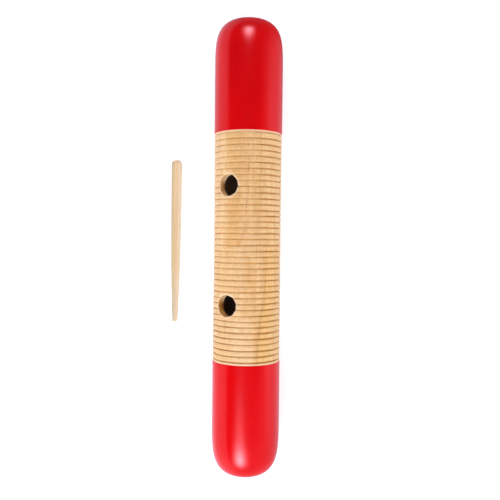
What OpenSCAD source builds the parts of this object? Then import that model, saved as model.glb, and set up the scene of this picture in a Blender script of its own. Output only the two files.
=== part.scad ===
// Tubular wooden guiro with domed ends, and its scraper.
// The instrument lies on a table: +Z is up, z = 0 is the table top, and +Y runs
// along the instrument towards its head. The origin is on the table under the
// middle of the grooved tube. All sizes are in millimetres.

/* [Body] */
// Outside diameter of the painted caps
body_d = 51.2; // [48:0.2:56]
// Length of the head cap from its joint to its tip
head_len = 85.6; // [80:0.2:96]
// Length of the tail cap from its joint to its tip
tail_len = 87; // [80:0.2:96]
// Length of bare wood between the two caps
middle_len = 170.6; // [168:0.2:180]
// Diameter of the sound chamber
chamber_d = 39.4; // [34:0.2:40]
// How far the ridge crests lie below the caps
crest_step = 0.2; // [0:0.05:0.5]

/* [Grooves] */
// Number of turned ring grooves
groove_count = 40; // [20:1:40]
// Distance from one groove to the next
groove_pitch = 4.268; // [2.5:0.002:4.268]
// Width of a groove at the surface
groove_w = 1.5; // [0.8:0.1:2.2]
// Depth of a groove below the ridge crests
groove_depth = 0.9; // [0.4:0.1:1.6]

/* [Finger holes] */
// Diameter of each finger hole
hole_d = 16; // [12:0.5:20]
// Distance of the upper hole from the middle
upper_hole_y = 45.6; // [30:0.1:60]
// Distance of the lower hole from the middle
lower_hole_y = 42.5; // [30:0.1:60]
// Lean of the upper hole from straight up, towards the scraper
upper_hole_lean = 34.6; // [0:0.2:60]
// Lean of the lower hole from straight up, towards the scraper
lower_hole_lean = 36; // [0:0.2:60]

/* [Cap joints] */
// Length of the spigot inside each cap
spigot_len = 11; // [6:0.5:16]
// Glue gap around the spigot
glue_gap = 0.1; // [0.05:0.05:0.2]

/* [Domes] */
// Length over which the head dome rounds off
head_dome = 44.2; // [30:0.2:60]
// Length over which the tail dome rounds off
tail_dome = 50.2; // [30:0.2:60]
// Fullness of the domes along the axis
dome_n = 4.95; // [2.5:0.05:6]
// Fullness of the domes across the axis
dome_m = 2.88; // [2:0.02:4]
// Wood left at the tip of each dome
tip_wall = 7; // [5:0.5:10]

/* [Scraper] */
// Length of the scraper
stick_len = 127.5; // [100:0.5:160]
// Diameter of the thick end
stick_d = 8.3; // [6:0.1:10]
// Diameter of the thin tip
stick_tip_d = 4; // [2.5:0.1:5]
// How late the taper sets in
stick_taper = 2.7; // [1.5:0.1:3.5]
// Length of the rounding of the thick end
stick_dome = 3.8; // [2:0.1:6]
// Distance of the thick end from the instrument's axis line
stick_x = 56.2; // [46:0.1:90]
// Place of the thick end along the instrument
stick_y = 68.2; // [0:0.1:100]
// Angle of the scraper to the instrument
stick_yaw = 0.38; // [0:0.02:3]

/* [Hidden] */
$fn = 96;

cap_r = body_d / 2;
crest_r = cap_r - crest_step;
bore_r = chamber_d / 2;
joint_y = middle_len / 2;
spigot_r = (cap_r + bore_r) / 2;
socket_r = spigot_r + glue_gap;
socket_len = spigot_len + 0.3;
bare_wood = [0.94, 0.78, 0.57];
red_paint = [0.83, 0.05, 0.07];
stick_wood = [0.94, 0.82, 0.65];

// Quarter outline of a dome: full radius r at height 0, closed on the axis at height a
function dome(r, a, steps) = [
  for (i = [0 : steps]) let (t = 90 * i / steps)
    [r * pow(cos(t), 2 / dome_m), a * pow(sin(t), 2 / dome_n)]
];
function raise(points, h) = [for (p = points) [p[0], p[1] + h]];
function reversed(points) = [for (i = [len(points) - 1 : -1 : 0]) points[i]];

// One groove's four corners, centred at height h
function groove(h) = [
  [crest_r, h - groove_w / 2],
  [crest_r - groove_depth, h - groove_w * 0.14],
  [crest_r - groove_depth, h + groove_w * 0.14],
  [crest_r, h + groove_w / 2]
];
function groove_h(i) = (i - (groove_count - 1) / 2) * groove_pitch;

// Radius of the scraper at a distance s from its thick end
function stick_r(s) = stick_d / 2
  - (stick_d - stick_tip_d) / 2 * pow(s / stick_len, stick_taper);
function stick_slope(s) = (stick_d - stick_tip_d) / 2 * stick_taper / stick_len
  * pow(s / stick_len, stick_taper - 1);
// Where the scraper touches the table, and how it leans to lie there
stick_touch = stick_len * 0.425;
stick_lean = atan(stick_slope(stick_touch));
stick_z = stick_touch * sin(stick_lean) + stick_r(stick_touch) * cos(stick_lean);

// Puts a piece turned about +Z on the instrument's axis, with +Z towards the head
module on_axis() translate([0, 0, cap_r]) rotate([-90, 0, 0]) children();

module finger_hole(y, lean) translate([0, y, cap_r]) rotate([0, -lean, 0])
  cylinder(d = hole_d, h = cap_r + 5);

// Grooved tube with a spigot at each end and two finger holes
module body_tube() color(bare_wood) difference() {
  on_axis() rotate_extrude() polygon(concat(
    [
      [bore_r, -joint_y - spigot_len],
      [spigot_r, -joint_y - spigot_len],
      [spigot_r, -joint_y],
      [crest_r, -joint_y]
    ],
    [for (i = [0 : groove_count - 1]) each groove(groove_h(i))],
    [
      [crest_r, joint_y],
      [spigot_r, joint_y],
      [spigot_r, joint_y + spigot_len],
      [bore_r, joint_y + spigot_len]
    ]
  ));
  finger_hole(upper_hole_y, upper_hole_lean);
  finger_hole(-lower_hole_y, lower_hole_lean);
}

// Hollow turned cap standing on z = 0, with a socket for the spigot
module cap(cap_len, dome_len) rotate_extrude() polygon(concat(
  [[socket_r, 0], [cap_r, 0]],
  raise(dome(cap_r, dome_len, 40), cap_len - dome_len),
  reversed(raise(dome(bore_r, dome_len - tip_wall, 28), cap_len - dome_len)),
  [[bore_r, socket_len], [socket_r, socket_len]]
));

module head_cap() color(red_paint) on_axis()
  translate([0, 0, joint_y]) cap(head_len, head_dome);

module tail_cap() color(red_paint) on_axis()
  rotate([180, 0, 0]) translate([0, 0, joint_y]) cap(tail_len, tail_dome);

// Tapered stick with a rounded thick end and a cut tip, lying beside the tube
module scraper() color(stick_wood)
  translate([-stick_x, stick_y, stick_z])
  rotate([90 + stick_lean, 0, -stick_yaw])
  rotate_extrude() polygon(concat(
    [[0, 0]],
    [for (i = [1 : 12]) let (t = 90 * i / 12, s = stick_dome * (1 - cos(t)))
      [stick_r(s) * pow(sin(t), 0.85), s]],
    [for (i = [1 : 30]) let (s = stick_dome + (stick_len - 0.4 - stick_dome) * i / 30)
      [stick_r(s), s]],
    [[stick_r(stick_len) - 0.4, stick_len], [0, stick_len]]
  ));

body_tube();
head_cap();
tail_cap();
scraper();
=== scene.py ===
"""Looks of a wooden tube guiro with red domed caps, and of its scraper."""

import math
import random

import bpy
import numpy as np
from mathutils import Matrix, Vector, noise


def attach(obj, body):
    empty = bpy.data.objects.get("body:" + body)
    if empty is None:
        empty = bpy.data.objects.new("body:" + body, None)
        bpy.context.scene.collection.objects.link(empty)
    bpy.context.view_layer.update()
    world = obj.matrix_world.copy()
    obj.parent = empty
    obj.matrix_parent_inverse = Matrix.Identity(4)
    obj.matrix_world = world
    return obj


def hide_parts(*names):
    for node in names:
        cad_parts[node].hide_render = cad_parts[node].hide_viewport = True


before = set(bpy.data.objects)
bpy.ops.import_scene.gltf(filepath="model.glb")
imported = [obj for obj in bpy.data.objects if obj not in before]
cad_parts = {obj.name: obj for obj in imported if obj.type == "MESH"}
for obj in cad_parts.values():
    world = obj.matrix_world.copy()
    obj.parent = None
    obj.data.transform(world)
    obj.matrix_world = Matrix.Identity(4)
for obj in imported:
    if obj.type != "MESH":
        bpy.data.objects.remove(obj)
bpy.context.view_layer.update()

MM = 0.001
# The frame's own sizes, in millimetres
CAP_R, CREST_R, BORE_R = 25.6, 25.4, 19.7
JOINT_Y, HEAD_LEN, TAIL_LEN = 85.3, 85.6, 87.0
SPIGOT_R, SPIGOT_LEN = 22.65, 11.0
SOCKET_R, SOCKET_LEN = 22.75, 11.3
GROOVES, PITCH, GROOVE_DEPTH = 40, 4.268, 0.9
HOLE_R = 8.0
HOLES = ((45.6, math.radians(34.6)), (-42.5, math.radians(36.0)))
DOME_N, DOME_M, TIP_WALL = 4.95, 2.88, 7.0
HEAD_DOME, TAIL_DOME = 44.2, 50.2
STICK_LEN, STICK_R, STICK_TIP_R, STICK_TAPER = 127.5, 4.15, 2.0, 2.7
STICK_DOME, STICK_X, STICK_Y, STICK_YAW = 3.8, -56.2, 68.2, 0.38
AXIS = np.array([0.0, 0.0, CAP_R])


# ---------------------------------------------------------------- mesh tools
def ring_faces(rows, segs, closed):
    r = np.arange(rows if closed else rows - 1)[:, None]
    s = np.arange(segs)[None, :]
    n, t = (r + 1) % rows, (s + 1) % segs
    quads = np.stack([r * segs + s, r * segs + t, n * segs + t, n * segs + s], -1)
    return quads.reshape(-1, 4).tolist()


def mesh_from(name, verts, faces):
    me = bpy.data.meshes.new(name)
    me.from_pydata(np.asarray(verts).tolist(), [], faces)
    me.validate()
    me.update()
    v = np.asarray(verts)
    tri = np.array([f[:3] for f in faces])
    rest = np.array([[f[0], f[2], f[3]] for f in faces if len(f) == 4])
    tri = np.vstack([tri, rest]) if len(rest) else tri
    a, b, c = v[tri[:, 0]], v[tri[:, 1]], v[tri[:, 2]]
    if np.einsum("ij,ij->i", a, np.cross(b, c)).sum() < 0:
        me.flip_normals()
    ob = bpy.data.objects.new(name, me)
    bpy.context.scene.collection.objects.link(ob)
    return ob


def poled(name, rows, start, end):
    """A closed skin from rings, rows x segs x 3, with a pole at each end."""
    n, segs = rows.shape[:2]
    verts = np.vstack([rows.reshape(-1, 3), [start], [end]])
    faces = ring_faces(n, segs, False)
    first, last = n * segs, n * segs + 1
    for s in range(segs):
        t = (s + 1) % segs
        faces.append([first, t, s])
        faces.append([last, (n - 1) * segs + s, (n - 1) * segs + t])
    return mesh_from(name, verts, faces)


def smooth(ob, angle):
    ob.data.shade_smooth()
    ob.data.set_sharp_from_angle(angle=math.radians(angle))


def attribute(ob, name, values):
    a = ob.data.attributes.new(name, "FLOAT", "POINT")
    a.data.foreach_set("value", np.asarray(values, np.float32))


def coords(ob):
    co = np.zeros(len(ob.data.vertices) * 3, np.float32)
    ob.data.vertices.foreach_get("co", co)
    return co.reshape(-1, 3).astype(float)


def waves(seed, count, turns, pitch):
    """A smooth seeded wobble of about unit size over angle and length."""
    rnd = random.Random(seed)
    terms = [
        (rnd.randint(0, turns), rnd.uniform(-1, 1) * 2 * math.pi / pitch,
         rnd.uniform(0, 2 * math.pi), rnd.uniform(0.4, 1.0))
        for _ in range(count)
    ]
    norm = math.sqrt(sum(t[3] ** 2 for t in terms) / 2)

    def f(theta, y):
        return sum(a * np.sin(m * theta + k * y + p) for m, k, p, a in terms) / norm

    return f


def drift(y):
    """How far a groove lies from its even place: the turner's spacing wanders along the tube."""
    bumps = ((84.0, 12.0, 0.5), (33.0, 11.0, -0.7), (-4.0, 6.0, -0.35), (-36.0, 22.0, -0.2), (-64.0, 5.0, 0.25))
    return sum(size * math.exp(-((y - at) / width) ** 2) for at, width, size in bumps)


def noise3(points):
    return np.array([noise.noise(Vector(p)) for p in points])


# ---------------------------------------------------------------- grooved tube
def tube():
    segs = 192
    theta = np.arange(segs) * 2 * math.pi / segs
    rnd = random.Random(11)
    rows_r, rows_y = [], []
    out_of_round = waves(3, 5, 4, 90.0)
    edge = waves(4, 9, 23, 9.0)

    def ring(r, y):
        rows_r.append(np.broadcast_to(r, (segs,)).astype(float).copy())
        rows_y.append(np.broadcast_to(y, (segs,)).astype(float).copy())

    # outside, from the tail end to the head end
    ring(BORE_R, -JOINT_Y - SPIGOT_LEN)
    ring(SPIGOT_R - 0.4, -JOINT_Y - SPIGOT_LEN)
    ring(SPIGOT_R, -JOINT_Y - SPIGOT_LEN + 0.4)
    ring(SPIGOT_R, -JOINT_Y)
    ring(CREST_R - 0.12, -JOINT_Y)
    ring(CREST_R, -JOINT_Y + 0.12)
    steps = [(0.0, 1.0), (0.2, 0.93), (0.4, 0.62), (0.58, 0.28), (0.74, 0.07), (0.98, 0.012)]
    table = [(-o, d) for o, d in steps[:0:-1]] + steps
    for i in range(GROOVES):
        centre = (i - (GROOVES - 1) / 2) * PITCH
        centre += drift(centre) + rnd.uniform(-0.11, 0.11)
        wide = rnd.uniform(0.93, 1.13)
        deep = GROOVE_DEPTH * rnd.uniform(0.81, 0.99)
        wander = waves(100 + i, 4, 5, 50.0)
        bite = waves(300 + i, 4, 7, 50.0)
        line = centre + 0.045 * wander(theta, centre)
        depth = deep * (1 + 0.07 * bite(theta, centre))
        for o, d in table:
            y = line + o * wide
            lip = math.exp(-((abs(o) - 0.74) / 0.2) ** 2)
            r = CREST_R - 0.012 - depth * d
            r = r - 0.012 * np.abs(out_of_round(theta, y))
            r = r - lip * 0.022 * np.abs(edge(theta, y + 7.0 * np.sign(o)))
            # small torn fibres along the edges of the ridges
            if lip > 0.5:
                p = np.stack([theta * CREST_R / 1.7, y * 1.3 + 5.0 * i, np.full(segs, 3.1)], 1)
                r = r - 0.30 * np.clip(noise3(p) - 0.42, 0, 0.4)
            ring(r, y)
    ring(CREST_R, JOINT_Y - 0.12)
    ring(CREST_R - 0.12, JOINT_Y)
    ring(SPIGOT_R, JOINT_Y)
    ring(SPIGOT_R, JOINT_Y + SPIGOT_LEN - 0.4)
    ring(SPIGOT_R - 0.4, JOINT_Y + SPIGOT_LEN)
    ring(BORE_R, JOINT_Y + SPIGOT_LEN)
    # the bored chamber, back to the start
    ripple = waves(8, 6, 6, 30.0)
    for y in np.linspace(JOINT_Y + SPIGOT_LEN, -JOINT_Y - SPIGOT_LEN, 34)[1:-1]:
        ring(BORE_R + 0.03 * ripple(theta, y), y)
    r, y = np.array(rows_r), np.array(rows_y)
    p = np.stack([r * np.sin(theta), y, CAP_R + r * np.cos(theta)], -1)
    body = mesh_from("grooved_tube", p.reshape(-1, 3) * MM, ring_faces(len(r), segs, True))
    cutters = [hole_cutter(k, *h) for k, h in enumerate(HOLES)]
    for c in cutters:
        m = body.modifiers.new(c.name, "BOOLEAN")
        m.object, m.operation, m.solver = c, "DIFFERENCE", "EXACT"
    bpy.context.view_layer.update()
    dg = bpy.context.evaluated_depsgraph_get()
    done = bpy.data.meshes.new_from_object(body.evaluated_get(dg))
    old = body.data
    body.modifiers.clear()
    body.data = done
    bpy.data.meshes.remove(old)
    done.name = "grooved_tube"
    for c in cutters:
        bpy.data.meshes.remove(c.data)
    done.materials.clear()
    smooth(body, 48)
    return body


def hole_frame(y, lean):
    out = np.array([-math.sin(lean), 0.0, math.cos(lean)])
    along = np.array([0.0, 1.0, 0.0])
    across = np.cross(out, along)
    return np.array([0.0, y, CAP_R]), out, along, across


def hole_cutter(k, y, lean):
    """What a drill and a touch of sandpaper take out of the wall."""
    origin, out, along, across = hole_frame(y, lean)
    segs, fillet = 120, 0.36
    phi = np.arange(segs) * 2 * math.pi / segs
    wob = waves(50 + k, 4, 6, 40.0)(phi, 0.0)

    def place(rho, h):
        rho = np.broadcast_to(rho, (segs,))
        h = np.broadcast_to(h, (segs,))
        return (
            origin
            + out * h[:, None]
            + along * (rho * np.cos(phi))[:, None]
            + across * (rho * np.sin(phi))[:, None]
        )

    def height(rho):
        return np.sqrt(CREST_R**2 - (rho * np.sin(phi)) ** 2)

    rows = [place(HOLE_R, 12.0), place(HOLE_R, 18.0), place(HOLE_R + 0.01 * wob, 21.0)]
    for a in np.radians([0, 14, 28, 42, 56, 70]):
        rho = HOLE_R + 0.01 * wob + fillet * (1 + 0.08 * wob) * (1 - math.cos(a))
        rows.append(place(rho, height(rho) - fillet * (1 - math.sin(a)) + 0.01))
    rho = HOLE_R + fillet + 1.6
    rows.append(place(rho, height(rho) + 0.55))
    rows.append(place(rho, 32.0))
    cutter = poled(
        f"cutter_{k}", np.array(rows) * MM, (origin + out * 12) * MM, (origin + out * 32) * MM
    )
    return cutter


# ---------------------------------------------------------------- caps
def dome_curve(r, a, count):
    t = np.linspace(0, math.pi / 2, 4000)
    x = r * np.cos(t) ** (2 / DOME_M)
    y = a * np.sin(t) ** (2 / DOME_N)
    x[-1] = 0.0
    s = np.concatenate([[0], np.cumsum(np.hypot(np.diff(x), np.diff(y)))])
    even = np.linspace(0, s[-1], count)
    return np.interp(even, s, x), np.interp(even, s, y)


def cap(name, length, dome, sign, seed):
    """A hollow turned cap. sign is +1 at the head and -1 at the tail."""
    segs = 160
    theta = np.arange(segs) * 2 * math.pi / segs
    base = length - dome
    x, y = dome_curve(CAP_R, dome, 62)
    outer = [(r, base + h) for r, h in zip(x, y)][::-1][1:]
    outer += [(CAP_R, h) for h in np.linspace(base, 1.0, 12)[1:]]
    outer += [(CAP_R, 0.28), (CAP_R - 0.04, 0.12), (CAP_R - 0.12, 0.03), (CAP_R - 0.24, 0.0)]
    inner = [(SOCKET_R + 0.3, 0.0), (SOCKET_R, 0.3), (SOCKET_R, SOCKET_LEN), (BORE_R, SOCKET_LEN)]
    inner += [(BORE_R, h) for h in np.linspace(SOCKET_LEN, base, 8)[1:-1]]
    x, y = dome_curve(BORE_R, dome - TIP_WALL, 40)
    inner += [(r, base + h) for r, h in zip(x, y)][:-1]
    uneven = waves(seed, 7, 4, 55.0)
    rows = []
    for r, h in outer:
        # a lathe and a coat of lacquer leave the surface very slightly uneven
        fade = min(1.0, r / 12.0) * min(1.0, max(h - 0.5, 0) / 6.0)
        rr = r - fade * 0.012 * (1.2 + uneven(theta, h)).clip(0, 3)
        rows.append(np.stack([rr * np.sin(theta), np.full(segs, sign * (JOINT_Y + h)),
                              CAP_R + rr * np.cos(theta)], -1))
    for r, h in inner:
        rows.append(np.stack([r * np.sin(theta), np.full(segs, sign * (JOINT_Y + h)),
                              CAP_R + r * np.cos(theta)], -1))
    ob = poled(
        name,
        np.array(rows) * MM,
        np.array([0, sign * (JOINT_Y + length), CAP_R]) * MM,
        np.array([0, sign * (JOINT_Y + length - TIP_WALL), CAP_R]) * MM,
    )
    smooth(ob, 40)
    p = coords(ob) / MM
    rho = np.hypot(p[:, 0], p[:, 2] - CAP_R)
    h = np.abs(p[:, 1]) - JOINT_Y
    # the socket and the chamber are bare wood, and paint stops at the rim
    x, y = dome_curve(BORE_R, dome - TIP_WALL, 400)
    limit = np.where(h > base, np.interp(h - base, y, x, right=0.0) + 0.2, SOCKET_R + 0.9)
    attribute(ob, "bare", (rho < limit).astype(float) * (h < length - TIP_WALL + 0.3))
    return ob


# ---------------------------------------------------------------- scraper
def stick_r(s):
    return STICK_R - (STICK_R - STICK_TIP_R) * (np.clip(s, 0, STICK_LEN) / STICK_LEN) ** STICK_TAPER


def scraper():
    segs = 72
    theta = np.arange(segs) * 2 * math.pi / segs
    touch = STICK_LEN * 0.425
    slope = (STICK_R - STICK_TIP_R) * STICK_TAPER / STICK_LEN * (touch / STICK_LEN) ** (STICK_TAPER - 1)
    lean = math.atan(slope)
    z = touch * math.sin(lean) + stick_r(touch) * math.cos(lean)
    place = (
        Matrix.Translation((STICK_X, STICK_Y, z))
        @ Matrix.Rotation(math.radians(-STICK_YAW), 4, "Z")
        @ Matrix.Rotation(math.radians(90) + lean, 4, "X")
    )
    place = np.array(place)
    facets = waves(21, 5, 6, 70.0)
    rows = []
    for t in np.linspace(0, math.pi / 2, 15)[1:]:
        s = STICK_DOME * (1 - math.cos(t))
        rows.append((stick_r(s) * math.sin(t) ** 0.85, s))
    for s in np.linspace(STICK_DOME, STICK_LEN - 0.45, 70)[1:]:
        rows.append((stick_r(s), s))
    tip = stick_r(STICK_LEN)
    rows += [(tip - 0.10, STICK_LEN - 0.16), (tip - 0.30, STICK_LEN - 0.03), (tip - 0.55, STICK_LEN),
             (tip * 0.45, STICK_LEN)]
    grid = []
    for r, s in rows:
        fade = min(1.0, s / 6.0) * min(1.0, max(STICK_LEN - s, 0) / 3.0)
        rr = r - 0.05 * fade * (1 + facets(theta, s)).clip(0, 2)
        local = np.stack([rr * np.cos(theta), rr * np.sin(theta), np.full(segs, s), np.ones(segs)], -1)
        grid.append((local @ place.T)[:, :3])
    ends = np.array([[0, 0, 0, 1], [0, 0, STICK_LEN, 1]]) @ place.T
    ob = poled("scraper_stick", np.array(grid) * MM, ends[0, :3] * MM, ends[1, :3] * MM)
    smooth(ob, 50)
    p = np.concatenate([np.array([[s] * segs for _, s in rows]).ravel(), [0.0, STICK_LEN]])
    attribute(ob, "along", p / STICK_LEN)
    attribute(ob, "tip", (p > STICK_LEN - 0.02).astype(float))
    return ob


# ---------------------------------------------------------------- materials
class Shader:
    """Small helper for building a node material."""

    def __init__(self, name):
        self.mat = bpy.data.materials.new(name)
        self.mat.use_nodes = True
        self.tree = self.mat.node_tree
        self.tree.nodes.clear()
        self.out = self.add("ShaderNodeOutputMaterial")
        self.bsdf = self.add("ShaderNodeBsdfPrincipled")
        self.tree.links.new(self.bsdf.outputs[0], self.out.inputs["Surface"])

    def add(self, kind, **props):
        n = self.tree.nodes.new(kind)
        for k, v in props.items():
            setattr(n, k, v)
        return n

    def put(self, socket, value):
        if isinstance(value, bpy.types.NodeSocket):
            self.tree.links.new(value, socket)
        else:
            socket.default_value = value

    def math(self, op, a, b=0.0, c=0.0, clamp=False):
        n = self.add("ShaderNodeMath", operation=op, use_clamp=clamp)
        self.put(n.inputs[0], a)
        self.put(n.inputs[1], b)
        self.put(n.inputs[2], c)
        return n.outputs[0]

    def vec(self, op, a, b):
        n = self.add("ShaderNodeVectorMath", operation=op)
        self.put(n.inputs[0], a)
        self.put(n.inputs[1], b)
        return n.outputs[0]

    def split(self, v):
        n = self.add("ShaderNodeSeparateXYZ")
        self.put(n.inputs[0], v)
        return n.outputs

    def join(self, x, y, z):
        n = self.add("ShaderNodeCombineXYZ")
        for i, v in enumerate((x, y, z)):
            self.put(n.inputs[i], v)
        return n.outputs[0]

    def object_mm(self):
        n = self.add("ShaderNodeTexCoord")
        return self.vec("MULTIPLY", n.outputs["Object"], (1000.0, 1000.0, 1000.0))

    def attr(self, name):
        return self.add("ShaderNodeAttribute", attribute_name=name).outputs["Fac"]

    def noise(self, v, size, detail=3.0, rough=0.5, distort=0.0, shift=(0.0, 0.0, 0.0)):
        """Noise with features of about size millimetres along x, y and z, from 0 to 1."""
        v = self.vec("DIVIDE", v, size)
        v = self.vec("ADD", v, shift)
        n = self.add("ShaderNodeTexNoise", noise_dimensions="3D")
        self.put(n.inputs["Vector"], v)
        n.inputs["Scale"].default_value = 1.0
        n.inputs["Detail"].default_value = detail
        n.inputs["Roughness"].default_value = rough
        n.inputs["Distortion"].default_value = distort
        return n.outputs[0]

    def range(self, v, a, b, c=0.0, d=1.0, kind="SMOOTHSTEP"):
        n = self.add("ShaderNodeMapRange", interpolation_type=kind)
        n.clamp = True
        self.put(n.inputs["Value"], v)
        for k, x in zip(("From Min", "From Max", "To Min", "To Max"), (a, b, c, d)):
            self.put(n.inputs[k], x)
        return n.outputs[0]

    def mix(self, f, a, b, blend="MIX"):
        n = self.add("ShaderNodeMix", data_type="RGBA", blend_type=blend, clamp_factor=True)
        self.put(n.inputs[0], f)
        self.put(n.inputs[6], a)
        self.put(n.inputs[7], b)
        return n.outputs[2]

    def ramp(self, f, stops):
        n = self.add("ShaderNodeValToRGB")
        e = n.color_ramp.elements
        while len(e) > 1:
            e.remove(e[0])
        e[0].position, e[0].color = stops[0]
        for p, c in stops[1:]:
            e.new(p).color = c
        self.put(n.inputs[0], f)
        return n.outputs[0]

    def bump(self, height, strength, distance):
        n = self.add("ShaderNodeBump")
        n.inputs["Strength"].default_value = strength
        n.inputs["Distance"].default_value = distance
        self.put(n.inputs["Height"], height)
        self.tree.links.new(n.outputs[0], self.bsdf.inputs["Normal"])


def rgb(r, g, b):
    """A linear colour from 0-255 sRGB numbers."""
    def lin(c):
        c /= 255.0
        return c / 12.92 if c <= 0.04045 else ((c + 0.055) / 1.055) ** 2.4
    return (lin(r), lin(g), lin(b), 1.0)


def dim(c, f):
    return (c[0] * f, c[1] * f, c[2] * f, 1.0)


LEVEL = 0.98  # how much darker the surfaces are than they show under the studio light


def wood_grain(s, p, pith, period, figure):
    """Growth rings cut by the surface, as 0 for pale early wood to 1 for a dark late-wood line, with fibres and pores."""
    x, y, z = s.split(p)
    sway = s.noise(p, (26.0, 150.0, 26.0), 2.0, 0.5)
    wave = s.noise(p, (5.0, 42.0, 5.0), 3.0, 0.55, shift=(3.0, 7.0, 1.0))
    dx = s.math("SUBTRACT", x, s.math("MULTIPLY_ADD", y, pith[2], pith[0]))
    dz = s.math("SUBTRACT", z, s.math("MULTIPLY_ADD", y, pith[3], pith[1]))
    q = s.math("SQRT", s.math("ADD", s.math("MULTIPLY", dx, dx), s.math("MULTIPLY", dz, dz)))
    q = s.math("MULTIPLY_ADD", sway, figure, q)
    q = s.math("MULTIPLY_ADD", wave, 1.1, q)
    phase = s.math("FRACT", s.math("DIVIDE", q, period))
    late = s.range(phase, 0.35, 0.93)
    late = s.math("MULTIPLY", late, s.range(phase, 0.94, 1.0, 1.0, 0.0))
    fibre = s.noise(p, (0.42, 17.0, 0.42), 4.0, 0.62, shift=(9.0, 2.0, 5.0))
    pore = s.noise(p, (0.62, 2.0, 0.62), 2.0, 0.6, shift=(1.0, 8.0, 4.0))
    pore = s.range(pore, 0.58, 0.68)
    return late, fibre, pore


def hole_fields(s, x, y, z):
    """For both finger holes: the drilled wall, the sanded rim, and how far out along the hole a point lies."""
    wall, rim, out = 0.0, 0.0, 0.0
    up = s.math("SUBTRACT", z, CAP_R)
    for hy, lean in HOLES:
        h = s.math("MULTIPLY_ADD", x, -math.sin(lean), s.math("MULTIPLY", up, math.cos(lean)))
        a = s.math("MULTIPLY_ADD", x, math.cos(lean), s.math("MULTIPLY", up, math.sin(lean)))
        b = s.math("SUBTRACT", y, hy)
        off = s.math("SQRT", s.math("ADD", s.math("MULTIPLY", a, a), s.math("MULTIPLY", b, b)))
        near = s.range(h, 9.0, 10.0)
        wall = s.math("MAXIMUM", wall, s.math("MULTIPLY", near, s.range(off, HOLE_R + 0.05, HOLE_R + 0.16, 1.0, 0.0)))
        rim = s.math("MAXIMUM", rim, s.math("MULTIPLY", near, s.range(off, HOLE_R + 0.2, HOLE_R + 2.0, 1.0, 0.0)))
        out = s.math("MAXIMUM", out, s.math("MULTIPLY", h, s.range(off, HOLE_R + 3.0, HOLE_R + 4.0, 1.0, 0.0)))
    return wall, rim, out


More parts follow.
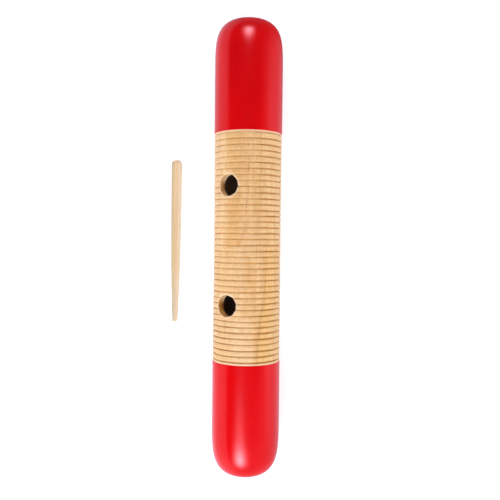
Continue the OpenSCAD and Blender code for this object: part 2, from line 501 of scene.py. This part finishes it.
def bare_wood():
    s = Shader("bare_wood")
    p = s.object_mm()
    x, y, z = s.split(p)
    up = s.math("SUBTRACT", z, CAP_R)
    rho = s.math("SQRT", s.math("ADD", s.math("MULTIPLY", x, x), s.math("MULTIPLY", up, up)))
    wall, rim, out = hole_fields(s, x, y, z)

    def both(*f):
        r = f[0]
        for g in f[1:]:
            r = s.math("MULTIPLY", r, g)
        return r

    late, fibre, pore = wood_grain(s, p, (3.0, -46.0, 0.05, 0.035), 3.1, 7.0)
    cloud = s.noise(p, (7.0, 90.0, 7.0), 2.0, 0.5, shift=(4.0, 4.0, 4.0))
    bend = s.noise(p, (30.0, 45.0, 30.0), 2.0, 0.5, shift=(7.0, 3.0, 2.0))
    sway = s.math("SUBTRACT", bend, 0.5)
    pale = dim(rgb(246, 207, 144), LEVEL)
    mid = dim(rgb(238, 190, 118), LEVEL)
    base = s.mix(s.range(cloud, 0.25, 0.75), mid, pale)
    base = s.mix(both(late, 0.24), base, dim(rgb(226, 168, 92), LEVEL))
    # paler sapwood on the side of the holes, and a warmer patch beside it
    sap = s.math("ADD", s.math("ADD", x, sway), s.range(y, 22.0, 40.0, 1.3, 0.0))
    sap = both(s.range(sap, -17.0, -14.8, 1.0, 0.0), s.range(up, -6.0, 4.0), s.range(y, -14.0, 6.0, 0.15, 1.0))
    base = s.mix(both(sap, 0.45), base, dim(rgb(255, 221, 168), LEVEL))
    warm = both(s.range(x, -15.0, -11.0), s.range(x, -3.0, 3.0, 1.0, 0.0), s.range(y, -4.0, 4.0), s.range(y, 12.0, 32.0, 1.0, 0.0), s.range(up, 0.0, 6.0))
    strip = both(s.range(x, -16.0, -14.0), s.range(x, -13.0, -9.5, 1.0, 0.0), s.range(y, 20.0, 40.0), s.range(up, 0.0, 6.0))
    warm = s.math("MAXIMUM", warm, both(strip, 0.8))
    base = s.mix(both(warm, 0.32), base, dim(rgb(234, 175, 100), LEVEL))
    # a yellower band of heartwood runs down the other side, with a darker edge
    edge = s.math("SUBTRACT", x, s.range(y, -85.0, -10.0, 7.2, 13.8))
    edge = s.math("MULTIPLY_ADD", sway, 2.2, edge)
    heart = both(s.range(edge, -0.6, 0.5), s.range(edge, 2.0, 16.0, 1.0, 0.0), s.range(y, -6.0, 14.0, 1.0, 0.15), s.range(up, -4.0, 6.0))
    base = s.mix(both(heart, 0.70), base, dim(rgb(240, 187, 78), LEVEL))
    line = both(s.range(edge, -1.0, 0.1), s.range(edge, 0.3, 2.6, 1.0, 0.0), s.range(y, -50.0, -14.0, 0.62, 0.30), s.range(y, -4.0, 14.0, 1.0, 0.1), s.range(up, -4.0, 6.0))
    base = s.mix(line, base, dim(rgb(210, 156, 78), LEVEL))
    smudge = both(s.range(edge, -3.2, -0.6), s.range(edge, 0.4, 3.4, 1.0, 0.0), s.range(y, -58.0, -44.0, 1.0, 0.0), s.range(y, -86.0, -76.0, 0.45, 1.0), s.range(up, -4.0, 6.0))
    base = s.mix(both(smudge, 0.28), base, dim(rgb(206, 148, 78), LEVEL))
    # painted shade: darker over the left of the tube towards the tail
    shade = both(s.range(y, -70.0, -48.0, 1.0, 0.0), s.range(x, -22.0, -19.0), s.range(x, -15.0, -11.0, 1.0, 0.0), s.range(up, 0.0, 6.0))
    base = s.mix(both(shade, 0.26), base, dim(rgb(214, 166, 108), LEVEL))
    # milky wood towards the tail and along the side of the holes, and a painted sheen along the left edge of the tube
    milk_and_left_sheen = both(s.range(y, -56.0, -44.0, 1.0, 0.0), s.range(x, -17.0, -13.0), s.range(x, 2.0, 7.0, 1.0, 0.0))
    milk_and_left_sheen = s.math("MAXIMUM", milk_and_left_sheen, both(s.range(y, -8.0, 6.0, 0.7, 0.0), s.range(x, -18.0, -15.0), s.range(x, -12.0, -8.0, 1.0, 0.0)))
    milk_and_left_sheen = s.math("MAXIMUM", milk_and_left_sheen, s.range(x, -24.0, -20.5, 0.9, 0.0))
    base = s.mix(both(milk_and_left_sheen, s.range(up, -2.0, 6.0), 0.27), base, dim(rgb(255, 228, 184), LEVEL))
    # warmer wood beside two of the pore strings
    halo = both(s.range(s.math("ABSOLUTE", x), 1.0, 4.0, 1.0, 0.0), s.range(y, 34.0, 52.0))
    near = both(s.range(s.math("ABSOLUTE", s.math("SUBTRACT", x, 1.8)), 1.0, 4.0, 1.0, 0.0), s.range(y, -36.0, -24.0), s.range(y, -8.0, 0.0, 1.0, 0.0))
    halo = both(s.math("MAXIMUM", halo, near), s.range(up, 0.0, 5.0))
    base = s.mix(both(halo, 0.3), base, dim(rgb(240, 180, 96), LEVEL))
    base = s.mix(both(s.range(x, 6.0, 11.0), s.range(up, -4.0, 4.0), 0.17), base, dim(rgb(252, 222, 184), LEVEL))
    # fibres, faint turning marks, and open pores in strings along the growth rings
    base = s.mix(s.range(fibre, 0.38, 0.78, 0.0, 0.2), base, dim(rgb(216, 160, 92), LEVEL))
    hair = s.noise(p, (0.17, 7.0, 0.17), 2.0, 0.6, shift=(4.0, 9.0, 7.0))
    base = s.mix(s.range(hair, 0.50, 0.75, 0.0, 0.24), base, dim(rgb(200, 146, 84), LEVEL))
    base = s.mix(s.range(hair, 0.25, 0.46, 0.20, 0.0), base, dim(rgb(255, 226, 170), LEVEL))
    # plainer streaks on the right and towards the head
    streak = s.noise(p, (1.1, 60.0, 1.1), 2.0, 0.55, shift=(6.0, 3.0, 9.0))
    streaky = both(s.range(x, 4.0, 8.0), s.range(y, -50.0, -24.0, 0.35, 1.0))
    streaky = s.math("MAXIMUM", streaky, both(s.range(y, 18.0, 34.0), s.range(x, -4.0, -1.0)))
    base = s.mix(both(s.range(streak, 0.50, 0.68, 0.0, 0.3), streaky), base, dim(rgb(212, 154, 88), LEVEL))
    base = s.mix(both(s.range(streak, 0.32, 0.50, 0.34, 0.0), streaky), base, dim(rgb(255, 226, 174), LEVEL))
    lathe = s.noise(p, (45.0, 0.5, 45.0), 2.0, 0.6, shift=(3.0, 3.0, 3.0))
    base = s.mix(s.range(lathe, 0.35, 0.8, 0.0, 0.2), base, dim(rgb(222, 168, 98), LEVEL))
    curl = s.math("MULTIPLY_ADD", s.math("EXPONENT", s.math("DIVIDE", s.math("MAXIMUM", y, -4.0), -13.0)), -7.5, 0.6)
    wander = s.math("SUBTRACT", s.noise(p, (9.0, 15.0, 9.0), 3.0, 0.6, shift=(2.0, 9.0, 4.0)), 0.5)
    first = s.math("ABSOLUTE", s.math("SUBTRACT", s.math("MULTIPLY_ADD", wander, 6.5, x), curl))
    first = both(s.range(first, 0.35, 1.3, 1.0, 0.0), s.range(y, 0.0, 4.0), s.range(y, 10.0, 40.0, 1.1, 1.5))
    second = s.math("ABSOLUTE", s.math("SUBTRACT", s.math("MULTIPLY_ADD", wander, 5.0, x), s.math("MULTIPLY_ADD", y, 0.02, 1.6)))
    second = both(s.range(second, 0.4, 1.5, 1.0, 0.0), s.range(y, -32.0, -24.0), s.range(y, -8.0, 0.0, 1.0, 0.0))
    third = s.math("ABSOLUTE", s.math("SUBTRACT", s.math("MULTIPLY_ADD", wander, 7.0, x), s.math("MULTIPLY_ADD", y, 0.02, 8.2)))
    third = both(s.range(third, 0.4, 2.0, 1.0, 0.0), s.range(y, -14.0, 10.0))
    strings = both(s.math("MAXIMUM", s.math("MAXIMUM", first, second), both(third, 0.6)), s.range(up, 0.0, 5.0))
    loose = s.noise(p, (2.2, 60.0, 2.2), 1.0, 0.5, shift=(8.0, 1.0, 6.0))
    loose = s.range(loose, 0.60, 0.68, 0.0, 0.8)
    broken = s.noise(p, (4.0, 9.0, 4.0), 2.0, 0.5, shift=(5.0, 2.0, 8.0))
    strings = both(strings, s.range(broken, 0.36, 0.56, 0.22, 1.0))
    base = s.mix(both(strings, 0.40), base, dim(rgb(214, 150, 80), LEVEL))
    dash = both(pore, s.math("MAXIMUM", s.math("MAXIMUM", strings, loose), 0.2))
    base = s.mix(both(dash, 0.72), base, dim(rgb(164, 102, 48), LEVEL))
    # mottling
    mottle = s.noise(p, (2.6, 3.4, 2.6), 2.0, 0.6, shift=(1.0, 4.0, 2.0))
    base = s.mix(s.range(mottle, 0.45, 0.72, 0.0, 0.30), base, dim(rgb(220, 158, 86), LEVEL))
    base = s.mix(s.range(mottle, 0.28, 0.48, 0.26, 0.0), base, dim(rgb(255, 224, 166), LEVEL))
    # a few resin spots and one hair crack
    def spot(cx, cy, rx, ry):
        a = s.math("DIVIDE", s.math("SUBTRACT", x, cx), rx)
        b = s.math("DIVIDE", s.math("SUBTRACT", y, cy), ry)
        d = s.math("SQRT", s.math("ADD", both(a, a), both(b, b)))
        d = s.math("MULTIPLY_ADD", s.math("SUBTRACT", s.noise(p, (1.6, 1.6, 1.6), 2.0, 0.6), 0.5), 1.4, d)
        return both(s.range(d, 0.2, 1.2, 1.0, 0.0), s.range(up, 0.0, 4.0))
    resin = s.math("MAXIMUM", spot(-6.2, 3.4, 1.7, 2.4), both(spot(-9.0, -29.8, 2.6, 1.0), 0.7))
    resin = s.math("MAXIMUM", resin, both(spot(-4.6, -30.4, 1.6, 0.9), 0.6))
    base = s.mix(both(resin, 0.55), base, dim(rgb(230, 160, 80), LEVEL))
    crack = s.math("ABSOLUTE", s.math("MULTIPLY_ADD", sway, 0.9, s.math("ADD", x, 15.8)))
    crack = both(s.range(crack, 0.05, 0.28, 1.0, 0.0), s.range(y, -74.0, -66.0), s.range(y, -54.0, -48.0, 1.0, 0.0), s.range(up, 0.0, 4.0))
    base = s.mix(both(crack, 0.45), base, dim(rgb(140, 92, 50), LEVEL))
    # the turned grooves are painted darker and warmer: painted shade, heaviest on the right flank, towards the tail and
    # along the left edge, over a little darker stain
    g = s.math("DIVIDE", s.math("SUBTRACT", CREST_R - 0.03, rho), GROOVE_DEPTH, clamp=True)
    g = both(g, s.range(rho, CREST_R - 1.9, CREST_R - 1.7), s.math("SUBTRACT", 1.0, wall))
    stain = s.noise(p, (9.0, 6.0, 9.0), 2.0, 0.5, shift=(2.0, 6.0, 8.0))
    # how strong the painted shade in the grooves is around and along the tube
    side = both(s.range(x, 2.0, 15.0, 0.0, 0.64), s.range(x, 21.0, 26.0, 1.0, 0.4))
    side = s.math("ADD", s.math("ADD", side, 0.01), both(s.range(y, -80.0, 20.0, 0.40, 0.0), s.range(x, 0.0, 12.0, 1.0, 0.3)))
    side = s.math("MULTIPLY_ADD", smudge, 0.12, side)
    for more in (
        s.range(x, -23.0, -18.0, 0.16, 0.0),
        both(s.range(y, 40.0, 52.0), s.range(x, -15.0, -11.0), s.range(x, -4.0, 0.0, 0.14, 0.0)),
        both(s.range(y, -56.0, -44.0, 1.0, 0.0), s.range(x, -22.0, -18.0), s.range(x, -11.0, -7.0, 0.13, 0.0)),
    ):
        side = s.math("ADD", side, more)
    # the groove lips are painted paler, most on the left: partly wear, partly a painted highlight
    lip_highlight_and_wear = both(s.range(g, 0.005, 0.04), s.range(g, 0.05, 0.22, 1.0, 0.0))
    base = s.mix(both(lip_highlight_and_wear, s.range(x, 2.0, 12.0, 0.45, 0.2)), base, dim(rgb(255, 226, 182), LEVEL))
    # painted shade on the groove shoulders across the right flank
    soft = both(s.range(g, 0.03, 0.07), s.range(g, 0.2, 0.5, 1.0, 0.0), s.range(x, 3.0, 13.0, 0.0, 0.26), s.range(x, 18.0, 23.0, 1.0, 0.2))
    base = s.mix(soft, base, dim(rgb(196, 142, 76), LEVEL))
    # painted shade: the grooves warmer and darker
    base = s.mix(s.range(g, 0.10, 0.8, 0.0, 0.22), base, dim(rgb(228, 158, 24), LEVEL))
    groove_shade = both(s.range(g, 0.10, 0.9), side, s.range(stain, 0.25, 0.75, 0.7, 1.25))
    base = s.mix(groove_shade, base, s.mix(s.range(x, 4.0, 14.0), dim(rgb(165, 100, 14), LEVEL), dim(rgb(186, 116, 10), LEVEL)))
    # the last ridge next to the paint is painted pale and pinkish: a painted highlight, with the caps' red reflected in
    # it
    paint_edge_highlight = s.range(s.math("ABSOLUTE", y), 83.7, 84.5)
    base = s.mix(both(paint_edge_highlight, 0.55), base, dim(rgb(255, 220, 182), LEVEL))
    # drilled walls are painted darker towards the inside, a painted shade down the hole, and the rims are sanded paler,
    # which also paints in part of their highlight
    base = s.mix(both(rim, 0.6), base, dim(rgb(255, 229, 190), LEVEL))
    ring = s.noise(p, (3.0, 1.2, 3.0), 2.0, 0.5)
    upper = s.range(y, -4.0, 4.0)
    deep = s.mix(upper, dim(rgb(168, 98, 16), LEVEL), dim(rgb(206, 136, 62), LEVEL))
    # painted light: the drilled walls are paler across their tops, on the side the tail lamp shines into
    b = s.math("SUBTRACT", y, s.range(y, -4.0, 4.0, HOLES[1][0], HOLES[0][0]))
    wall_painted_light = s.math("MAXIMUM", s.range(b, 0.5, 5.0), s.range(b, -6.0, -2.5, 0.35, 0.0))
    deep = s.mix(both(wall_painted_light, s.range(y, -4.0, 4.0, 0.85, 0.95)), deep, dim(rgb(255, 233, 182), LEVEL))
    outer = s.mix(upper, dim(rgb(224, 164, 72), LEVEL), dim(rgb(248, 200, 128), LEVEL))
    # painted light on the same side of the walls near the surface
    outer = s.mix(s.range(b, 2.0, 6.0, 0.0, 0.6), outer, dim(rgb(255, 222, 156), LEVEL))
    # painted shade: the walls darken from the surface down into the hole
    drilled = s.mix(s.range(out, 17.8, 23.8), deep, outer)
    drilled = s.mix(both(ring, 0.3), drilled, dim(rgb(188, 128, 62), LEVEL))
    base = s.mix(wall, base, drilled)
    bored = s.mix(upper, (0.46, 0.37, 0.29, 1.0), (0.64, 0.53, 0.44, 1.0))
    base = s.mix(s.range(rho, BORE_R + 0.05, BORE_R + 0.2, 1.0, 0.0), base, bored)
    s.put(s.bsdf.inputs["Base Color"], base)
    rough = s.range(fibre, 0.3, 0.75, 0.42, 0.6)
    rough = s.math("MAXIMUM", rough, both(g, 0.8))
    s.put(s.bsdf.inputs["Roughness"], rough)
    s.bsdf.inputs["Specular IOR Level"].default_value = 0.3
    s.bsdf.inputs["Sheen Weight"].default_value = 0.3
    s.bsdf.inputs["Sheen Roughness"].default_value = 0.35
    s.bsdf.inputs["Sheen Tint"].default_value = (0.80, 0.90, 1.0, 1.0)
    h = s.math("MULTIPLY_ADD", dash, -0.8, s.math("MULTIPLY_ADD", lathe, 0.35, both(fibre, 0.5)))
    h = s.math("MULTIPLY_ADD", hair, 0.3, h)
    s.bump(h, 0.35, 0.00006)
    return s.mat


def stick_wood():
    s = Shader("stick_wood")
    p = s.object_mm()
    late, fibre, pore = wood_grain(s, p, (-62.0, -9.0, 0.02, 0.01), 1.9, 3.0)
    x, y, z = s.split(p)
    cloud = s.noise(p, (5.0, 45.0, 5.0), 3.0, 0.5, shift=(1.0, 5.0, 9.0))
    along = s.attr("along")
    # darker on the outer side, paler towards the tube: partly sapwood, partly painted light and shade across the stick
    across = s.math("ADD", x, s.math("MULTIPLY_ADD", y, -0.0065, 56.65))
    across = s.math("MULTIPLY_ADD", s.math("SUBTRACT", cloud, 0.5), 1.4, across)
    sap_and_side_light = s.range(across, -4.15, 4.15, kind="LINEAR")
    base = s.ramp(sap_and_side_light, [
        (0.0, dim(rgb(206, 189, 166), LEVEL)),
        (0.16, dim(rgb(216, 194, 157), LEVEL)),
        (0.36, dim(rgb(231, 202, 148), LEVEL)),
        (0.56, dim(rgb(237, 207, 154), LEVEL)),
        (0.74, dim(rgb(246, 232, 195), LEVEL)),
        (1.0, dim(rgb(255, 253, 236), LEVEL)),
    ])
    middle = s.math("MULTIPLY", s.range(sap_and_side_light, 0.22, 0.46), s.range(sap_and_side_light, 0.58, 0.82, 1.0, 0.0))
    base = s.mix(s.math("MULTIPLY", middle, s.range(along, 0.12, 0.45, 0.75, 0.0)), base, dim(rgb(255, 226, 175), LEVEL))
    base = s.mix(s.math("MULTIPLY", s.range(sap_and_side_light, 0.52, 0.74), s.range(along, 0.12, 0.45, 0.5, 0.0)), base, dim(rgb(255, 243, 214), LEVEL))
    # the lower stick likewise runs from dark on one side to near white on the other: partly painted light
    lower_sap_and_side_light = s.mix(s.range(across, -2.4, 2.4), dim(rgb(200, 193, 166), LEVEL), dim(rgb(251, 250, 236), LEVEL))
    base = s.mix(s.range(along, 0.6, 0.9, 0.0, 0.55), base, lower_sap_and_side_light)
    base = s.mix(s.math("MULTIPLY", late, 0.2), base, dim(rgb(230, 192, 130), LEVEL))
    base = s.mix(s.range(fibre, 0.35, 0.75, 0.0, 0.22), base, dim(rgb(224, 186, 126), LEVEL))
    hair = s.noise(p, (0.16, 6.0, 0.16), 2.0, 0.6, shift=(2.0, 7.0, 3.0))
    base = s.mix(s.range(hair, 0.50, 0.75, 0.0, 0.22), base, dim(rgb(206, 164, 108), LEVEL))
    base = s.mix(s.range(hair, 0.25, 0.46, 0.18, 0.0), base, dim(rgb(255, 238, 200), LEVEL))
    base = s.mix(s.math("MULTIPLY", pore, 0.22), base, dim(rgb(186, 138, 90), LEVEL))
    end = s.range(along, 0.0, 0.034, 0.06, 0.0)
    speck = s.noise(p, (0.9, 0.9, 0.9), 3.0, 0.6)
    end = s.math("MULTIPLY", end, s.range(speck, 0.35, 0.7, 0.2, 1.0))
    base = s.mix(end, base, dim(rgb(205, 158, 102), LEVEL))
    base = s.mix(s.math("MULTIPLY", s.attr("tip"), 0.5), base, dim(rgb(196, 160, 118), LEVEL))
    s.put(s.bsdf.inputs["Base Color"], base)
    s.put(s.bsdf.inputs["Roughness"], s.range(fibre, 0.3, 0.75, 0.5, 0.66))
    s.bsdf.inputs["Specular IOR Level"].default_value = 0.3
    h = s.math("MULTIPLY_ADD", pore, -0.6, s.math("MULTIPLY_ADD", hair, 0.3, s.math("MULTIPLY", fibre, 0.5)))
    s.bump(h, 0.4, 0.00006)
    return s.mat


def red_lacquer():
    s = Shader("red_lacquer")
    p = s.object_mm()
    cloud = s.noise(p, (18.0, 40.0, 18.0), 2.0, 0.5)
    base = s.mix(s.range(cloud, 0.3, 0.7), dim((0.745, 0.0014, 0.0028, 1.0), LEVEL), dim((0.785, 0.0019, 0.0038, 1.0), LEVEL))
    x, y, z = s.split(p)
    # painted light: the tail cap's red is a touch brighter than the head's
    tail = s.range(y, -60.0, 60.0, 1.0, 0.0)
    base = s.mix(tail, base, (1.05, 1.0, 1.0, 1.0), blend="MULTIPLY")
    # painted shade: a darker red along the left of the head's top
    head_painted_shade = s.math("MULTIPLY", s.range(y, 98.0, 127.0), s.range(x, -18.0, -13.0))
    head_painted_shade = s.math("MULTIPLY", head_painted_shade, s.range(y, 143.0, 156.0, 1.0, 0.1))
    head_painted_shade = s.math("MULTIPLY", head_painted_shade, s.range(x, -9.0, -2.0, 1.0, 0.45))
    head_painted_shade = s.math("MULTIPLY", head_painted_shade, s.range(x, 8.0, 14.0, 1.0, 0.0))
    base = s.mix(head_painted_shade, base, (0.88, 1.0, 1.0, 1.0), blend="MULTIPLY")
    fleck = s.noise(p, (0.7, 0.7, 0.7), 2.0, 0.6, shift=(6.0, 1.0, 3.0))
    base = s.mix(s.range(fleck, 0.66, 0.74, 0.0, 0.35), base, dim((0.48, 0.0022, 0.003, 1.0), LEVEL))
    base = s.mix(s.attr("bare"), base, dim(rgb(205, 158, 100), LEVEL))
    s.put(s.bsdf.inputs["Base Color"], base)
    smear = s.noise(p, (14.0, 30.0, 14.0), 3.0, 0.6, shift=(5.0, 5.0, 1.0))
    s.put(s.bsdf.inputs["Roughness"], s.math("MAXIMUM", s.range(smear, 0.3, 0.7, 0.17, 0.20), s.math("MULTIPLY", s.attr("bare"), 0.7)))
    s.bsdf.inputs["IOR"].default_value = 1.8
    s.bsdf.inputs["Specular Tint"].default_value = (1.0, 0.39, 0.405, 1.0)
    peel = s.noise(p, (3.2, 3.2, 3.2), 1.0, 0.5, shift=(2.0, 2.0, 7.0))
    grain = s.noise(p, (0.9, 22.0, 0.9), 2.0, 0.5)
    s.bump(s.math("MULTIPLY_ADD", grain, 0.35, peel), 0.05, 0.00003)
    return s.mat


def floor_material():
    """A back-lit white sheet."""
    s = Shader("pale_floor")
    p = s.object_mm()
    n = s.noise(p, (60.0, 60.0, 60.0), 3.0, 0.5)
    s.put(s.bsdf.inputs["Base Color"], s.mix(n, (0.49, 0.49, 0.49, 1.0), (0.51, 0.51, 0.51, 1.0)))
    s.bsdf.inputs["Roughness"].default_value = 0.9
    s.bsdf.inputs["Specular IOR Level"].default_value = 0.1
    s.bsdf.inputs["Emission Color"].default_value = (1.0, 1.0, 1.0, 1.0)
    # the sheet is lit a little more away from the middle, so that it stays white to its edge
    far = s.vec("MULTIPLY", p, (1.0, 1.0, 0.0))
    n = s.add("ShaderNodeVectorMath", operation="LENGTH")
    s.put(n.inputs[0], far)
    s.put(s.bsdf.inputs["Emission Strength"], s.range(n.outputs["Value"], 450.0, 1000.0, 0.72, 1.1))
    return s.mat


# ---------------------------------------------------------------- build
wood, red, stick = bare_wood(), red_lacquer(), stick_wood()
for ob, node, body, mat, slot in (
    (tube(), "body_tube", "guiro", wood, "bare_wood"),
    (cap("red_head_cap", HEAD_LEN, HEAD_DOME, 1, 31), "head_cap", "guiro", red, "red_lacquer"),
    (cap("red_tail_cap", TAIL_LEN, TAIL_DOME, -1, 32), "tail_cap", "guiro", red, "red_lacquer"),
    (scraper(), "scraper", "scraper", stick, "stick_wood"),
):
    ob.data.materials.append(mat)
    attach(ob, body)
    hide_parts(node)

# ---------------------------------------------------------------- stage
me = bpy.data.meshes.new("floor")
w = 4.0
me.from_pydata([(-w, -w, 0), (w, -w, 0), (w, w, 0), (-w, w, 0)], [], [(0, 1, 2, 3)])
floor = bpy.data.objects.new("floor", me)
me.materials.append(floor_material())
bpy.context.scene.collection.objects.link(floor)
floor.location.z = -0.00002
floor.visible_glossy = False


def backdrop(radius, bend, height):
    """A plain white sheet hung round the floor, curved where it meets it."""
    segs = 96
    theta = np.arange(segs) * 2 * math.pi / segs
    rows = [(radius - bend + bend * math.sin(a), bend - bend * math.cos(a)) for a in np.radians(np.linspace(0, 90, 13))]
    rows.append((radius, height))
    verts = [(r * math.cos(t), r * math.sin(t), z) for r, z in rows for t in theta]
    me = bpy.data.meshes.new("backdrop")
    me.from_pydata(verts, [], ring_faces(len(rows), segs, False))
    me.shade_smooth()
    ob = bpy.data.objects.new("backdrop", me)
    s = Shader("white_sheet")
    s.bsdf.inputs["Base Color"].default_value = (0.5, 0.5, 0.5, 1.0)
    s.bsdf.inputs["Roughness"].default_value = 1.0
    s.bsdf.inputs["Emission Color"].default_value = (1.0, 1.0, 1.0, 1.0)
    s.bsdf.inputs["Emission Strength"].default_value = 1.05
    me.materials.append(s.mat)
    bpy.context.scene.collection.objects.link(ob)
    # the lamps and the room stand behind the sheet, and shine through it
    ob.visible_diffuse = ob.visible_glossy = ob.visible_transmission = False
    ob.visible_shadow = ob.visible_volume_scatter = False


backdrop(3.9, 0.8, 5.0)


def lamp(name, at, to, size, radiance, spread):
    """A round softbox of the given diameter, brightest in the middle and fading over spread diameters."""
    d = bpy.data.lights.new(name, "AREA")
    d.shape = "DISK"
    d.size = size
    d.energy = radiance * math.pi * math.pi * (size / 2) ** 2
    d.color = (1.0, 0.99, 1.16)
    d.use_nodes = True
    nt = d.node_tree
    glow = nt.nodes["Emission"]
    geo = nt.nodes.new("ShaderNodeNewGeometry")
    off = nt.nodes.new("ShaderNodeVectorMath")
    off.operation = "DISTANCE"
    off.inputs[1].default_value = (0.5, 0.5, 0.0)
    nt.links.new(geo.outputs["Parametric"], off.inputs[0])
    last = off.outputs["Value"]
    for kind, by in (("POWER", 2.0), ("DIVIDE", -2.0 * spread * spread), ("EXPONENT", 0.0)):
        n = nt.nodes.new("ShaderNodeMath")
        n.operation = kind
        nt.links.new(last, n.inputs[0])
        n.inputs[1].default_value = by
        last = n.outputs[0]
    nt.links.new(last, glow.inputs["Strength"])
    o = bpy.data.objects.new(name, d)
    o.location = at
    o.rotation_mode = "QUATERNION"
    o.rotation_quaternion = (Vector(to) - Vector(at)).to_track_quat("-Z", "Y")
    o.visible_camera = False
    bpy.context.scene.collection.objects.link(o)


def studio():
    """Grey surroundings under a dark ceiling: hard-edged on the left, soft on the right, dark beyond the head."""
    world = bpy.data.worlds.new("studio")
    world.use_nodes = True
    nt = world.node_tree
    nt.nodes.clear()
    out = nt.nodes.new("ShaderNodeOutputWorld")
    bg = nt.nodes.new("ShaderNodeBackground")
    tc = nt.nodes.new("ShaderNodeTexCoord")
    sep = nt.nodes.new("ShaderNodeSeparateXYZ")
    nt.links.new(tc.outputs["Generated"], sep.inputs[0])
    x, y, z = sep.outputs

    def ramp(v, a, b, c, d):
        n = nt.nodes.new("ShaderNodeMapRange")
        n.interpolation_type = "SMOOTHSTEP"
        nt.links.new(v, n.inputs["Value"])
        for k, u in zip(("From Min", "From Max", "To Min", "To Max"), (a, b, c, d)):
            n.inputs[k].default_value = u
        return n.outputs[0]

    def op(kind, a, b):
        n = nt.nodes.new("ShaderNodeMath")
        n.operation = kind
        for i, u in enumerate((a, b)):
            if isinstance(u, bpy.types.NodeSocket):
                nt.links.new(u, n.inputs[i])
            else:
                n.inputs[i].default_value = u
        return n.outputs[0]

    # grey level around the horizon, from -Y by way of -X, +Y and +X back to -Y
    around = nt.nodes.new("ShaderNodeValToRGB")
    around.color_ramp.interpolation = "EASE"
    e = around.color_ramp.elements
    levels = (0.37, 0.80, 0.46, 0.50, 0.10, 0.03, 0.52, 0.35, 0.37)
    e[0].position, e[1].position = 0.0, 1.0
    for i, v in enumerate(levels[1:-1]):
        e.new((i + 1) / 8).color = (v, v, v, 1.0)
    e[0].color = e[len(e) - 1].color = (levels[0], levels[0], levels[0], 1.0)
    turn = op("ADD", op("DIVIDE", op("ARCTAN2", x, y), 2 * math.pi), 0.5)
    nt.links.new(turn, around.inputs[0])
    on_left = ramp(x, -0.4, -0.15, 1.0, 0.0)
    reach = op(
        "ADD",
        op("MULTIPLY", ramp(op("ADD", z, op("MULTIPLY", op("MAXIMUM", y, 0.0), 0.3)), 0.32, 0.43, 1.0, 0.0), on_left),
        op("MULTIPLY", op("MULTIPLY", ramp(z, 0.30, 0.85, 1.0, 0.0), ramp(z, 0.0, 0.3, 1.0, 0.82)), op("SUBTRACT", 1.0, on_left)),
    )
    wall = op("MULTIPLY", op("MULTIPLY", around.outputs[0], reach), ramp(z, -0.75, -0.2, 1.35, 1.0))
    glow = op("MULTIPLY", ramp(y, -0.48, -0.12, 0.36, 0.0), ramp(x, -0.15, 0.15, 0.0, 1.0))
    wall = op("ADD", wall, op("MULTIPLY", glow, op("SUBTRACT", 1.0, reach)))
    total = op("ADD", wall, 0.045)
    nt.links.new(total, bg.inputs["Strength"])
    bg.inputs["Color"].default_value = (0.97, 0.98, 1.18, 1.0)
    nt.links.new(bg.outputs[0], out.inputs[0])
    bpy.context.scene.world = world


def fill(name, at, to, size, radiance, beam=180.0):
    """A panel that lifts one side without showing in the gloss, with a grid that keeps its beam within an angle."""
    d = bpy.data.lights.new(name, "AREA")
    d.shape = "RECTANGLE"
    d.size, d.size_y = size
    d.energy = radiance * math.pi * size[0] * size[1]
    if beam < 180.0:
        half = math.radians(beam) / 2
        d.spread = 2 * half
        d.energy *= 1 - half / math.tan(half)
    o = bpy.data.objects.new(name, d)
    o.location = at
    o.rotation_mode = "QUATERNION"
    o.rotation_quaternion = (Vector(to) - Vector(at)).to_track_quat("-Z", "Y")
    o.visible_camera = False
    o.visible_glossy = False
    bpy.context.scene.collection.objects.link(o)


studio()
fill("right_fill", (1.0, 0.02, 0.20), (0, 0, 0.03), (0.9, 0.34), 4.1)
fill("left_fill", (-0.98, 0.0, 0.14), (0, 0, 0.03), (0.9, 0.26), 2.2)
fill("tail_fill", (-0.20, -0.70, 0.66), (0, -0.13, 0.03), (0.1, 0.1), 36.0, 13.0)
fill("head_fill", (0.12, 0.62, 0.55), (0, 0.0, 0.03), (0.1, 0.1), 14.0, 18.0)
lamp("tail_softbox", (-0.218, -0.654, 0.680), (0, -0.10, 0.03), 1.00, 14.3, 0.155)
lamp("head_softbox", (-0.017, 0.829, 0.765), (0, 0.10, 0.03), 0.90, 12.2, 0.158)

# ---------------------------------------------------------------- camera
cam = bpy.data.cameras.new("camera")
cam.sensor_width = 36.0
cam.lens = 46.23
cam.clip_start, cam.clip_end = 0.01, 50.0
eye = bpy.data.objects.new("camera", cam)
eye.location = (0.002137, 0.007351, 0.51308)
eye.rotation_euler = (math.radians(-1.0736), 0.0, math.radians(0.595))
bpy.context.scene.collection.objects.link(eye)
bpy.context.scene.camera = eye

view = bpy.context.scene.view_settings
view.view_transform = "Standard"
view.look = "None"
view.exposure, view.gamma = 0.0, 1.0
